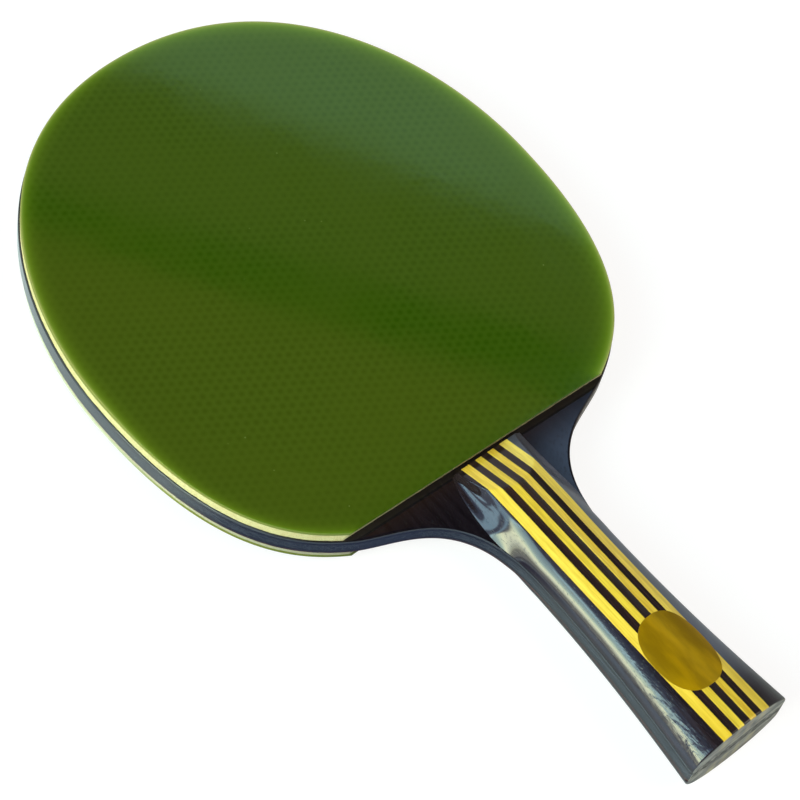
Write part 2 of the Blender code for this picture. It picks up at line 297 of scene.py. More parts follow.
def ring_piece(name, rings, material, replaced, layers=(), sharp=30.0):
    """A closed skin through rings of equal length, with both end rings filled.

    Each face joins two neighbours of one ring to the same two of the next. Layers are named
    numbers that each point keeps for its material. Edges bent by more than sharp, in degrees,
    are shaded as sharp.
    """
    rings = np.asarray(rings, dtype=float)
    count, around = rings.shape[:2]
    index = np.arange(count * around).reshape(count, around)
    following = np.roll(index, -1, axis=1)
    quads = np.stack([index[:-1], following[:-1], following[1:], index[1:]], axis=-1).reshape(-1, 4)
    faces = [*quads.tolist(), index[0, ::-1].tolist(), index[-1].tolist()]
    mesh = bpy.data.meshes.new(name)
    mesh.from_pydata((rings.reshape(-1, 3) * MM).tolist(), [], faces)
    for layer, values in layers:
        attribute = mesh.attributes.new(layer, "FLOAT", "POINT")
        attribute.data.foreach_set("value", np.asarray(values, dtype=np.float32).ravel())
    work = bmesh.new()
    work.from_mesh(mesh)
    bmesh.ops.remove_doubles(work, verts=work.verts, dist=MERGE_DISTANCE * MM)
    bmesh.ops.recalc_face_normals(work, faces=work.faces)
    work.to_mesh(mesh)
    work.free()
    mesh.shade_smooth()
    mesh.set_sharp_from_angle(angle=math.radians(sharp))
    mesh.materials.append(material)
    piece = bpy.data.objects.new(name, mesh)
    bpy.context.scene.collection.objects.link(piece)
    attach(piece, "root")
    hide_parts(replaced)


def quarter(count):
    """Sine and one less cosine over a quarter turn, for rounding an edge."""
    angle = np.linspace(0.0, math.pi / 2, count)
    return np.sin(angle), 1 - np.cos(angle)


# ---- materials ----

SMOOTH = {"interpolation_type": "SMOOTHSTEP"}
COLOUR = {"data_type": "RGBA"}
TIMES = {"operation": "MULTIPLY"}
PLUS = {"operation": "ADD"}


def add(tree, kind, *values, out=0, **settings):
    """Adds one node, makes its settings, and gives its output.

    Values fill the inputs in order, or by name or number from one dict. Each is a value or
    another node's output.
    """
    made = tree.nodes.new("ShaderNode" + kind)
    for key, value in settings.items():
        setattr(made, key, value)
    given = values[0] if values and isinstance(values[0], dict) else dict(enumerate(values))
    for key, value in given.items():
        if isinstance(value, bpy.types.NodeSocket):
            tree.links.new(value, made.inputs[key])
        else:
            made.inputs[key].default_value = value
    return made.outputs[out]


def new_material(name, build):
    """A new material: build gets its tree and the place in millimetres, and gives the values or
    outputs for the inputs of its Principled shader."""
    material = bpy.data.materials.new(name)
    material.use_nodes = True
    tree = material.node_tree
    shader = tree.nodes["Principled BSDF"]
    metres = add(tree, "TexCoord", out="Object")
    place = add(tree, "VectorMath", {0: metres, "Scale": 1 / MM}, operation="SCALE")
    for key, value in build(tree, place).items():
        socket = shader.inputs[key.replace("_", " ")]
        if isinstance(value, bpy.types.NodeSocket):
            tree.links.new(value, socket)
        else:
            socket.default_value = value
    return material


def moulded_natural_rubber(tree, place):
    """Moulded natural rubber, glossy and a little see-through: the pimples on its inner side
    show as soft dark dots 2.6 mm apart, and a painted yellow-green glow stands for light that
    enters its rim, with a painted pale highlight along its very edge. The knife leaves the wall
    matt and paler, and painted light makes it paler still towards the tip and on the back."""
    # Dots: three cosines at 60 degrees, made uneven by patches of 2.5 mm
    mottle = add(tree, "TexNoise", {"Vector": place, "Scale": 0.4, "Detail": 3.0})
    waves = add(tree, "MapRange", mottle, 0.3, 0.7, -0.6, 0.6)
    for turn in (0, 60, 120):
        angle = math.radians(turn) + PIMPLE_TURN
        number = 4 * math.pi / (math.sqrt(3) * PIMPLE_PITCH)
        along = (number * math.cos(angle), number * math.sin(angle), 0.0)
        shift = along[0] * PIMPLE_PLACE[0] + along[1] * PIMPLE_PLACE[1]
        phase = add(tree, "VectorMath", place, along, out="Value", operation="DOT_PRODUCT")
        phase = add(tree, "Math", phase, shift, operation="SUBTRACT")
        waves = add(tree, "Math", add(tree, "Math", phase, operation="COSINE"), waves, **PLUS)
    dots = add(tree, "MapRange", waves, -1.5, 3.0, 0.0, 1.0)
    colour = add(
        tree, "Mix", {0: dots, 6: linear("#345009"), 7: linear("#2A4700")}, out=2, **COLOUR)
    # Clouds of 33 mm
    cloud = add(tree, "TexNoise", {"Vector": place, "Scale": 0.03, "Detail": 2.0})
    cloud = add(tree, "MapRange", cloud, 0.35, 0.65, 0.0, 0.5, **SMOOTH)
    colour = add(tree, "Mix", {0: cloud, 6: colour, 7: linear("#344E06")}, out=2, **COLOUR)
    # Painted glow of light from the rim, and a painted pale highlight along its very edge, fading
    # by e to the power of minus depth over reach
    depth = add(tree, "Attribute", attribute_name="rim_depth", out="Fac")
    for reach, tint in ((RIM_GLOW_DEPTH, "#6A8C1B"), (EDGE_GLOW_DEPTH, "#A2A462")):
        fade = add(tree, "Math", depth, -1 / reach, **TIMES)
        glow = add(tree, "Math", math.e, fade, operation="POWER")
        colour = add(tree, "Mix", {0: glow, 6: colour, 7: linear(tint)}, out=2, **COLOUR)
    # Pale specks, 0.4 mm across and 9 mm apart
    specks = add(tree, "TexVoronoi", {"Vector": place, "Scale": 0.11}, out="Distance")
    specks = add(tree, "MapRange", specks, 0.016, 0.03, 0.3, 0.0, **SMOOTH)
    colour = add(tree, "Mix", {0: specks, 6: colour, 7: linear("#8CA05C")}, out=2, **COLOUR)
    # The cut wall, the paler the higher its share: paler for the cut, and paler still for painted
    # light
    wall = add(tree, "Attribute", attribute_name="cut_and_lit_wall", out="Fac")
    for low, tint in ((0.0, "#797B26"), (1.0, "#C4C4A8")):
        share = add(tree, "MapRange", wall, low, low + 1.0, 0.0, 1.0)
        colour = add(tree, "Mix", {0: share, 6: colour, 7: linear(tint)}, out=2, **COLOUR)
    # Smears of 17 mm in the gloss, and a slow swell of 4 mm
    smear = add(tree, "TexNoise", {"Vector": place, "Scale": 0.06, "Detail": 4.0})
    smear = add(tree, "MapRange", smear, 0.35, 0.75, 0.045, 0.075)
    swell = add(tree, "TexNoise", {"Vector": place, "Scale": 0.25, "Detail": 2.0})
    return {
        "Base_Color": colour, "IOR": 1.5,
        "Roughness": add(tree, "MapRange", wall, 0.0, 0.3, smear, 0.8),
        "Normal": add(tree, "Bump", {"Height": swell, "Distance": 0.005 * MM}),
    }


def cut_latex_foam(tree, place):
    """Latex foam cut with a knife: matt and cream, greyer on the back by a painted cool light from
    the floor, with open pores 0.4 mm apart and patches of 2 mm."""
    pores = add(tree, "TexVoronoi", {"Vector": place, "Scale": 2.4}, out="Distance")
    patch = add(tree, "TexNoise", {"Vector": place, "Scale": 0.5, "Detail": 3.0})
    tone = add(tree, "MapRange", pores, 0.05, 0.45, 0.0, 1.0, **SMOOTH)
    colour = add(
        tree, "Mix", {0: tone, 6: linear("#B6A26C"), 7: linear("#D4C78E")}, out=2, **COLOUR)
    patch = add(tree, "MapRange", patch, 0.35, 0.7, 0.0, 0.4, **SMOOTH)
    colour = add(tree, "Mix", {0: patch, 6: colour, 7: linear("#C5AE74")}, out=2, **COLOUR)
    # Painted light: the back is greyer, standing for the bluish light from the floor
    back = add(tree, "MapRange", add(tree, "SeparateXYZ", place, out="Z"), -1.0, 1.0, 0.55, 0.0)
    colour = add(tree, "Mix", {0: back, 6: colour, 7: linear("#9C9C90")}, out=2, **COLOUR)
    return {
        "Base_Color": colour, "Roughness": 0.9, "IOR": 1.4,
        "Normal": add(tree, "Bump", {"Height": pores, "Distance": 0.1 * MM}),
    }


def lacquered_wood(light, dark, end_light, end_dark, gloss, peel=0.01, pore_depth=0.006, grain=0.25,
                   through=3.0, haze_and_sheen=None, edge=None, fleck=None, amber=None):
    """Wood under clear lacquer, with fibres 0.3 mm wide and 6 mm long up the bat in a figure
    1.3 mm wide. The glossy coat has low waves 1 mm wide and 6 mm long, more towards the butt, and
    sinks into pores 0.3 mm apart. The sawn butt is matt end grain in layers of 2 mm with pits of
    0.5 mm.

    Gloss is the coat's roughness, peel the height of its waves, pore_depth that of the pores,
    grain the spread of the noise that goes from dark to light, and through the pattern's pace
    through the wood. Haze_and_sheen is a bluish tint for a surface worn satin by the hand, partly
    its milky look and partly a painted sheen of the sky, edge tints a veneer's side and what lies
    under the rubber, fleck the streaks in the sawn end, 2 mm long and 0.8 mm thick, and amber the
    deeper yellow towards the butt.
    """

    def build(tree, place):
        long_place = add(tree, "VectorMath", place, (3.0, 0.16, through), **TIMES)
        wide_place = add(tree, "VectorMath", place, (0.8, 0.02, 0.3 * through), **TIMES)
        fibres = {"Vector": long_place, "Scale": 1.0, "Detail": 3.0, "Roughness": 0.6}
        fibre = add(tree, "TexNoise", fibres)
        figure = add(tree, "TexNoise", {"Vector": wide_place, "Scale": 1.0, "Detail": 2.0})
        tone = add(tree, "Math", fibre, figure, **PLUS)
        tone = add(tree, "MapRange", tone, 1.0 - grain, 1.0 + grain, 0.0, 1.0)
        colour = add(tree, "Mix", {0: tone, 6: linear(dark), 7: linear(light)}, out=2, **COLOUR)
        _, height, level = add(tree, "SeparateXYZ", place).node.outputs
        # Painted sheen of the sky with the milky rub: a bluish tint rising low on the handle,
        # easing near the head
        if haze_and_sheen:
            haze_and_sheen_share = add(tree, "MapRange", height, *HAZE_AND_SHEEN_START, 0.0, 1.0, **SMOOTH)
            ramp = add(tree, "MapRange", height, *HAZE_AND_SHEEN_END, 1.0, 0.6, **SMOOTH)
            haze_and_sheen_share = add(tree, "Math", haze_and_sheen_share, ramp, **TIMES)
            colour = add(tree, "Mix", {0: haze_and_sheen_share, 6: colour, 7: linear(haze_and_sheen)}, out=2, **COLOUR)
        if edge:
            level = add(tree, "Math", level, operation="ABSOLUTE")
            side = add(tree, "MapRange", level, *VENEER_EDGE, 1.0, 0.0, **SMOOTH)
            under = add(tree, "MapRange", height, *UNDER_RUBBER, 0.0, 1.0, **SMOOTH)
            side = add(tree, "Math", side, under, operation="MAXIMUM")
            colour = add(tree, "Mix", {0: side, 6: colour, 7: linear(edge)}, out=2, **COLOUR)
        # Deeper yellow towards the butt
        if amber:
            towards_butt = add(tree, "MapRange", height, *AMBER_END, 0.5, 0.0, **SMOOTH)
            colour = add(tree, "Mix", {0: towards_butt, 6: colour, 7: linear(amber)}, out=2, **COLOUR)
        layer_place = add(tree, "VectorMath", place, (0.1, 0.0, 0.5), **TIMES)
        layer = add(tree, "TexNoise", {"Vector": layer_place, "Scale": 1.0, "Detail": 3.0})
        layer = add(tree, "MapRange", layer, 0.4, 0.6, 0.0, 1.0, **SMOOTH)
        ends = {0: layer, 6: linear(end_light), 7: linear(end_dark)}
        sawn = add(tree, "Mix", ends, out=2, **COLOUR)
        pits = {"Vector": place, "Scale": 2.0, "Detail": 3.0, "Roughness": 0.7}
        pit = add(tree, "MapRange", add(tree, "TexNoise", pits), 0.5, 0.75, 0.0, 0.6, **SMOOTH)
        sawn = add(tree, "Mix", {0: pit, 6: sawn, 7: linear("#4C4A48")}, out=2, **COLOUR)
        if fleck:
            streak_place = add(tree, "VectorMath", place, (0.5, 0.0, 1.3), **TIMES)
            streak = add(tree, "TexNoise", {"Vector": streak_place, "Scale": 1.0, "Detail": 4.0})
            streak = add(tree, "MapRange", streak, 0.44, 0.54, 0.0, 0.9, **SMOOTH)
            sawn = add(tree, "Mix", {0: streak, 6: sawn, 7: linear(fleck)}, out=2, **COLOUR)
        end = add(tree, "MapRange", height, *SAWN_END, 1.0, 0.0, **SMOOTH)
        colour = add(tree, "Mix", {0: end, 6: colour, 7: sawn}, out=2, **COLOUR)
        pore_place = add(tree, "VectorMath", place, (3.4, 0.5, 3.4), **TIMES)
        pore = add(tree, "TexVoronoi", {"Vector": pore_place, "Scale": 1.0}, out="Distance")
        pore = add(tree, "MapRange", pore, 0.06, 0.22, 0.0, 1.0, **SMOOTH)
        pores = add(tree, "Bump", {"Height": pore, "Distance": pore_depth * MM})
        wave_place = add(tree, "VectorMath", place, (1.0, 0.17, 1.0), **TIMES)
        swell = add(tree, "TexNoise", {"Vector": wave_place, "Scale": 1.0, "Detail": 3.0})
        worn = add(tree, "MapRange", height, *WORN_END, 1.0, 0.02, **SMOOTH)
        waves = {"Height": swell, "Distance": peel * MM, "Strength": worn, "Normal": pores}
        return {
            "Base_Color": colour, "IOR": 1.5,
            "Roughness": add(tree, "MapRange", end, 0.0, 1.0, gloss, 0.85),
            "Normal": add(tree, "Bump", waves),
        }

    return build


def gold_metallised_film(tree, place):
    """Gold metallised film stuck to the handle: satin, with soft streaks 5 mm wide and 20 mm
    long up the bat, and crumples of 5 mm."""
    streak_place = add(tree, "VectorMath", place, (0.2, 0.05, 0.0), **TIMES)
    streak = add(tree, "TexNoise", {"Vector": streak_place, "Scale": 1.0, "Detail": 4.0})
    streak = add(tree, "MapRange", streak, 0.35, 0.65, 0.0, 1.0, **SMOOTH)
    colour = add(
        tree, "Mix", {0: streak, 6: linear("#967400"), 7: linear("#C09600")}, out=2, **COLOUR)
    crumple = add(tree, "TexNoise", {"Vector": place, "Scale": 0.22, "Detail": 2.0})
    return {
        "Base_Color": colour, "Metallic": 0.4, "Roughness": 0.3,
        "Normal": add(tree, "Bump", {"Height": crumple, "Distance": 0.08 * MM}),
    }


rubber = new_material("moulded_natural_rubber", moulded_natural_rubber)
foam = new_material("cut_latex_foam", cut_latex_foam)
face_veneer = new_material("lacquered_black_veneer", lacquered_wood(
    "#1A151C", "#0F0B11", "#A8A69C", "#787877", 0.06, edge="#3A3C40"))
# The back face veneer's edge is a thin reddish line in the light
back_veneer = new_material("lacquered_brown_veneer", lacquered_wood(
    "#50342F", "#3C2825", "#A8A69C", "#787877", 0.08))
cross_veneer = new_material("lacquered_cross_veneer", lacquered_wood(
    "#2E2D32", "#1E1E22", "#B0ACA2", "#7E7C78", 0.12, fleck="#2A2B27"))
core_veneer = new_material("lacquered_core_veneer", lacquered_wood(
    "#3A3C42", "#282A30", "#A29E94", "#767470", 0.12, fleck="#2A2B27"))
# Yellow strips in tones of their own; the fourth, on the right, is painted paler, painted light
# that makes up for weaker light on that side
yellow_veneers = [
    new_material(f"lacquered_yellow_veneer_{i + 1}", lacquered_wood(
        light, dark, "#B6AE94", "#88847E", 0.09,
        pore_depth=0.003, grain=0.2, through=0.4, amber=amber))
    for i, (light, dark, amber) in enumerate((
        ("#FAD956", "#E0BC40", "#D4AC1C"), ("#EED048", "#CFAE36", None),
        ("#F0D24A", "#CEA734", None), ("#F4DA62", "#D8BC56", "#D8B430")))]
dark_veneer = new_material("lacquered_dark_veneer", lacquered_wood(
    "#2D1F20", "#1B1315", "#A4A298", "#72706E", 0.2, through=0.4))
cheek_wood = new_material("lacquered_dark_hardwood", lacquered_wood(
    "#2A2024", "#1C161B", "#A6A49A", "#727271", 0.05, peel=0.1, pore_depth=0.01))
# The right cheeks are given a satin by the hand, with a bluish tint that is partly the milky rub
# and partly a painted sheen of the sky
rubbed_wood = new_material("rubbed_dark_hardwood", lacquered_wood(
    "#2A2024", "#1C161B", "#A6A49A", "#727271", 0.3, peel=0.03, pore_depth=0.01, haze_and_sheen="#565C6E"))
gold = new_material("gold_metallised_film", gold_metallised_film)


# ---- blade ----


def ply(name, low, high, material, replaced, round_low=0.0, round_high=0.0):
    """One ply: the blade's outline carried up from low to high, its outer edge rounded at the
    bottom and the top by the radii given, if any, with one more ring inside each flat face that
    keeps the shading there flat."""
    sine, rise = quarter(BLADE_EDGE_STEPS)
    bottom, top = [(0.0, low)], [(0.0, high)]
    if round_low:
        bottom = [(round_low * (1 - s), low + round_low * r) for s, r in zip(sine, rise)]
    if round_high:
        top = [(round_high * r, high - round_high * (1 - s)) for s, r in zip(sine, rise)]
    levels = [(round_low + FLAT_BORDER, low), *bottom, *top, (round_high + FLAT_BORDER, high)]
    ring_piece(name, [blade_ring(i, z) for i, z in levels], material, replaced)


ply("core", -CORE_TOP, CORE_TOP, core_veneer, "core_ply")
ply("front_cross_veneer", CORE_TOP, INNER_TOP, cross_veneer, "front_inner_ply")
ply("back_cross_veneer", -INNER_TOP, -CORE_TOP, cross_veneer, "back_inner_ply")
ply("front_face_veneer", INNER_TOP, FACE_TOP, face_veneer, "front_face_ply",
    round_high=BLADE_EDGE_ROUND)
ply("back_face_veneer", -FACE_TOP, -INNER_TOP, back_veneer, "back_face_ply",
    round_low=BLADE_EDGE_ROUND)


# ---- rubbers ----


def build_foam(side, top, cut_y, slope, sheet_top):
    """Foam: the rubber's outline carried from the blade up to the sheet, the cut leaning in."""
    sign = 1 if side == "front" else -1
    inset = RUBBER_INSET + CUT_RAGGED
    rings = [
        rubber_ring(inset, sign * z, cut_y + CUT_LEAN * (sheet_top - z), slope, CUT_RAGGED)
        for z in np.linspace(FACE_TOP, top, FOAM_STEPS)]
    ring_piece(f"{side}_foam", rings, foam, f"{side}_sponge", sharp=40)


def build_sheet(side, low, top, cut_y, slope):
    """Top sheet: its wall, a small rounded edge, then rings drawn towards a middle point.

    A ring at share s is the outline's points moved to middle + s (point - middle). Each point
    keeps its distance to the round rim, in millimetres, for the painted glow there: counted
    shorter on the right, where more light enters, and longer low on the left. The wall's points
    keep a share instead, above 0, that says how pale the wall looks, from the cut and from painted
    light: least low on the head, and most high on the back.
    """
    sign = 1 if side == "front" else -1
    sine, rise = quarter(SHEET_EDGE_STEPS)
    levels = [(0.0, z) for z in np.linspace(low, top - SHEET_EDGE_ROUND, SHEET_WALL_STEPS)]
    edge = [(SHEET_EDGE_ROUND * r, top - SHEET_EDGE_ROUND * (1 - s)) for s, r in zip(sine, rise)]
    levels += edge[1:]
    wall = [
        rubber_ring(RUBBER_INSET + i, sign * z, cut_y + CUT_LEAN * (top - z) + i, slope)
        for i, z in levels]
    rim = wall[-1]
    middle = np.array([0.0, SHEET_MIDDLE_Y, sign * top])
    rings = np.array([*wall, *(middle + s * (rim - middle) for s in SHEET_SHARES)])
    straight_end = ROUND_HALF_POINTS + STRAIGHT_POINTS
    round_rim = np.vstack([rim[:ROUND_HALF_POINTS], rim[straight_end:]])[:, :2]
    depths = np.array([
        np.linalg.norm(ring[:, None, :2] - round_rim, axis=2).min(axis=1) for ring in rings])
    x, y = rings[..., 0], rings[..., 1]
    dim = (1 - smooth_step(y, *DIM_Y)) * (1 - smooth_step(x, *DIM_X))
    lit = smooth_step(x, *LIT_X)
    depths = depths * (1 + DIM_STRETCH * dim) / (1 + LIT_SHRINK * lit) + DIM_SHIFT * dim
    # Paleness of the cut wall, raised by painted light towards the tip and more on the back
    pale = PALE_LOW + (1 - PALE_LOW) * smooth_step(y, *PALE_Y)
    pale = pale + smooth_step(y, *PALE_BACK_Y) if sign < 0 else pale
    pale[len(levels) - 2:] = 0.0
    ring_piece(f"{side}_sheet", rings, rubber, f"{side}_topsheet",
               layers=(("rim_depth", depths), ("cut_and_lit_wall", pale)))


build_foam("front", FRONT_FOAM_TOP, FRONT_CUT_Y, -CUT_SLOPE, FRONT_SHEET_TOP)
build_foam("back", BACK_FOAM_TOP, BACK_CUT_Y, CUT_SLOPE, BACK_SHEET_TOP)
build_sheet("front", FRONT_FOAM_TOP, FRONT_SHEET_TOP, FRONT_CUT_Y, -CUT_SLOPE)
build_sheet("back", BACK_FOAM_TOP, BACK_SHEET_TOP, BACK_CUT_Y, CUT_SLOPE)


# ---- handle ----

# Heights of the handle's sections, closest at the rounded butt edge and about the crease
STATIONS = np.unique(np.round(np.concatenate([
    BUTT_ROUND * quarter(ROUND_STATIONS)[1],
    np.linspace(BUTT_ROUND, CREASE_SPAN[0], LOW_STATIONS),
    np.linspace(*CREASE_SPAN, CREASE_STATIONS),
    np.linspace(CREASE_SPAN[1], HANDLE_END_Y, END_STATIONS)]), decimals=4))


def soft_min(a, b, size):
    """The smaller of two values, with the change from one to the other rounded off."""
    return (a + b - np.sqrt((a - b) ** 2 + size ** 2)) / 2


def cheek_half_width(y, side=1):
    """Flush with the blade up to the waist, then on the foot line of the cheek, which is drawn in
    towards the head: by a power of the way on the left, by a smooth step on the right."""
    if side < 0:
        way = np.clip((y - LEFT_TAPER_START) / (HANDLE_END_Y - LEFT_TAPER_START), 0.0, None)
        foot = LEFT_FOOT[0] - LEFT_FOOT[1] * way ** LEFT_TAPER_POWER
    else:
        foot = RIGHT_FOOT[0] - RIGHT_FOOT[1] * smooth_step(y, *RIGHT_TAPER)
    foot = foot + FOOT_RELEASE * (1 - smooth_step(y, *FOOT_RELEASE_SPAN))
    return soft_min(blade_half_width(y), foot, FOOT_BLEND)


def crown(y):
    """Height of the crown over the middle, falling evenly from butt to crest."""
    return HALF_THICK_BUTT + (HALF_THICK_CREST - HALF_THICK_BUTT) * y / CREST_Y


def ramp_height(y):
    """Height of the sloping plane from the crest down to the toe."""
    fall = (crown(CREST_Y) - FACE_TOP - TOE_HEIGHT) / (HANDLE_END_Y - CREST_Y)
    return crown(CREST_Y) - fall * (y - CREST_Y)


def handle_height(x, y):
    """Height of the handle over x, y: a superellipse on the blade's face, cut by the ramp."""
    pull = butt_setback(y)
    share = np.clip(np.abs(x) / (cheek_half_width(y) - pull), 0.0, 1.0)
    arch = (1 - share ** CROWN_EXPONENT) ** (1 / CROWN_EXPONENT)
    return soft_min(FACE_TOP + (crown(y) - pull - FACE_TOP) * arch, ramp_height(y), CREASE_ROUND)


def build_strip(name, low_x, high_x, sign, material, replaced):
    """A straight strip: the handle's surface between two upright planes, down to the blade."""
    y, x = np.meshgrid(STATIONS, np.linspace(high_x, low_x, STRIP_POINTS), indexing="ij")
    top = np.stack([x, y, sign * handle_height(x, y)], axis=-1)
    foot = top[:, [-1, 0]]
    foot[..., 2] = sign * FACE_TOP
    ring_piece(name, np.concatenate([foot, top], axis=1), material, replaced)


def build_cheek(name, side, sign, replaced):
    """A cheek: its inner face, then the handle's shoulder down to the blade.

    Low on the handle the section is the superellipse, at even angles: x = width
    sin(angle)^(2/exponent). Towards the head it turns into a bevel, a cubic from the strip's edge
    to the foot with a set slope at each end, hollowed by 16 t^2 (1-t)^2 times a squared sine of
    the way up. The ramp cuts both.
    """
    y = STATIONS[:, None]
    pull = butt_setback(y)
    width = cheek_half_width(y, side) - pull
    inner = STRIP_EDGES[-1]
    start = np.arcsin((inner / width) ** (CROWN_EXPONENT / 2))
    t = np.linspace(0.0, 1.0, CHEEK_POINTS)
    angle = start + (math.pi / 2 - start) * t
    power = 2 / CROWN_EXPONENT
    oval_x = width * np.sin(angle) ** power
    oval_z = (crown(y) - pull - FACE_TOP) * np.maximum(np.cos(angle), 0.0) ** power
    run, drop = width - inner, oval_z[:, :1]
    cubic = drop * (2 * t ** 3 - 3 * t ** 2 + 1)
    cubic = cubic - BEVEL_TOP_SLOPE * run * (t ** 3 - 2 * t ** 2 + t)
    cubic = cubic - BEVEL_FOOT_SLOPE * run * (t ** 3 - t ** 2)
    hollow = np.sin(math.pi * np.maximum(y - HOLLOW_START, 0.0) / HOLLOW_LENGTH) ** 2
    cubic = cubic - BEVEL_HOLLOW * hollow * 16 * t ** 2 * (1 - t) ** 2
    share = smooth_step(y, *BEVEL_START)
    x = oval_x + (inner + run * t - oval_x) * share
    z = FACE_TOP + oval_z + (cubic - oval_z) * share
    z = np.maximum(soft_min(z, ramp_height(y), CREASE_ROUND), FACE_TOP)
    z[:, 0] = handle_height(inner, STATIONS)
    foot = np.full_like(y, FACE_TOP)
    x = np.concatenate([np.full_like(y, inner), width, x[:, ::-1]], axis=1)
    z = np.concatenate([foot, foot, z[:, ::-1]], axis=1)
    rings = np.stack([side * x, np.broadcast_to(y, x.shape), sign * z], axis=-1)
    ring_piece(name, rings, cheek_wood if side < 0 else rubbed_wood, replaced)


for half_name, sign in (("front", 1), ("back", -1)):
    for i, (low_x, high_x) in enumerate(zip(STRIP_EDGES, STRIP_EDGES[1:])):
        number = i // 2 + 1
        colour, wood = ("dark", dark_veneer) if i % 2 else ("yellow", yellow_veneers[i // 2])
        build_strip(f"{half_name}_{colour}_{number}", low_x, high_x, sign, wood,
                    f"{half_name}_{colour}_strip_{number}")
    for hand, side in (("left", -1), ("right", 1)):
        build_cheek(f"{half_name}_{hand}_cheek", side, sign, f"{half_name}_cheek_{hand}")


def build_badge():
    """Foil oval on the crown: rings at growing shares of a superellipse, just above the wood,
    then rings at shrinking shares over them."""
    angle = np.linspace(0.0, 2 * math.pi, BADGE_POINTS, endpoint=False)
    power = 2 / BADGE_SQUARENESS
    across = np.sign(np.cos(angle)) * np.abs(np.cos(angle)) ** power
    along = np.sign(np.sin(angle)) * np.abs(np.sin(angle)) ** power
    rings = []
    for lift, shares in ((GLUE_LIFT, GLUE_SHARES), (FOIL_LIFT, FOIL_SHARES)):
        for share in shares:
            x = BADGE_CENTRE[0] + BADGE_HALF[0] * share * across
            y = BADGE_CENTRE[1] + BADGE_HALF[1] * share * along
            rings.append(np.column_stack([x, y, handle_height(x, y) + lift]))
    ring_piece("foil_badge", rings, gold, "handle_badge")


build_badge()


# ---- camera, floor and surroundings ----

# Camera: its place and nearest distance in metres, the directions of its axes, and its lens and
# sensor in millimetres
CAMERA_PLACE = (-0.34022, -0.11394, 0.64417)
CAMERA_NEAREST = 0.01
CAMERA_RIGHT = (0.75467, -0.63835, 0.15159)
CAMERA_UP = (0.48907, 0.70134, 0.51859)
CAMERA_BACK = (-0.43736, -0.31723, 0.84148)
CAMERA_LENS = 127.44
CAMERA_SENSOR = 36.0

camera = bpy.data.objects.new("camera", bpy.data.cameras.new("camera"))
bpy.context.scene.collection.objects.link(camera)
camera_columns = [
    (*CAMERA_RIGHT, 0.0), (*CAMERA_UP, 0.0), (*CAMERA_BACK, 0.0), (*CAMERA_PLACE, 1.0)]
camera.matrix_world = Matrix(camera_columns).transposed()
camera.data.sensor_width = CAMERA_SENSOR
camera.data.lens = CAMERA_LENS
camera.data.clip_start = CAMERA_NEAREST
bpy.context.scene.camera = camera

# Gap between the bat and the floor, in millimetres
FLOOR_GAP = 0.05

# Floor, in metres: its half side, the painted shade by the neck with its reach, and where the
# painted glow in the lacquer changes along and across the bat, with the glow's linear colours
FLOOR_HALF = 6.0
NECK_PLACE = (-0.042, 0.108)
NECK_REACH = (0.03, 0.055)
GLOW_ALONG = (0.06, 0.14)
GLOW_ACROSS = (-0.06, -0.018)
GLOW_BY_HANDLE = (0.68, 1.05, 1.47, 1.0)
GLOW_BY_HEAD = (0.34, 0.4, 0.42, 1.0)
GLOW_SEEN = (0.85, 0.85, 0.85, 1.0)


def build_floor():
    """A pale floor under the bat, which lies on the back of its butt and of its tip. In the
    bat's lacquer it shows a painted bluish glow, brighter towards the window, and a painted shade
    by the neck; for the camera it stays white."""
    slope = (HALF_THICK_BUTT - BACK_SHEET_TOP) / TIP_Y
    low = -(HALF_THICK_BUTT + FLOOR_GAP) * MM
    corners = [(-1, -1), (1, -1), (1, 1), (-1, 1)]
    mesh = bpy.data.meshes.new("floor")
    points = [(x * FLOOR_HALF, y * FLOOR_HALF, low + slope * y * FLOOR_HALF) for x, y in corners]
    mesh.from_pydata(points, [], [(0, 1, 2, 3)])
    material = bpy.data.materials.new("pale_floor")
    material.use_nodes = True
    tree = material.node_tree
    shader = tree.nodes["Principled BSDF"]
    seen = add(tree, "LightPath", out="Is Camera Ray")
    place = add(tree, "TexCoord", out="Object")
    neck = add(tree, "VectorMath", place, (*NECK_PLACE, low), out="Value", operation="DISTANCE")
    neck = add(tree, "MapRange", neck, *NECK_REACH, 0.0, 1.0, **SMOOTH)
    # Painted shade: darker and bluer by the neck, for everything but the camera
    colour = add(
        tree, "Mix", {0: neck, 6: linear("#5A6698"), 7: linear("#CCCED2")}, out=2, **COLOUR)
    colour = add(tree, "Mix", {0: seen, 6: colour, 7: linear("#808080")}, out=2, **COLOUR)
    # Painted light: a bluish glow for everything but the camera, fading towards the head and by the
    # neck
    across, along, _ = add(tree, "SeparateXYZ", place).node.outputs
    head = add(tree, "MapRange", along, *GLOW_ALONG, 0.0, 1.0, **SMOOTH)
    glow = add(tree, "Mix", {0: head, 6: GLOW_BY_HANDLE, 7: GLOW_BY_HEAD}, out=2, **COLOUR)
    share = add(tree, "MapRange", across, *GLOW_ACROSS, 1.0, 0.0, **SMOOTH)
    share = add(tree, "Math", share, neck, **TIMES)
    glow = add(tree, "VectorMath", {0: glow, "Scale": share}, operation="SCALE")
    glow = add(tree, "Mix", {0: seen, 6: glow, 7: GLOW_SEEN}, out=2, **COLOUR)
    tree.links.new(colour, shader.inputs["Base Color"])
    tree.links.new(glow, shader.inputs["Emission Color"])
    shader.inputs["Emission Strength"].default_value = 1.0
    shader.inputs["Roughness"].default_value = 0.9
    shader.inputs["Specular IOR Level"].default_value = 0.0
    mesh.materials.append(material)
    floor = bpy.data.objects.new("floor", mesh)
    bpy.context.scene.collection.objects.link(floor)


build_floor()

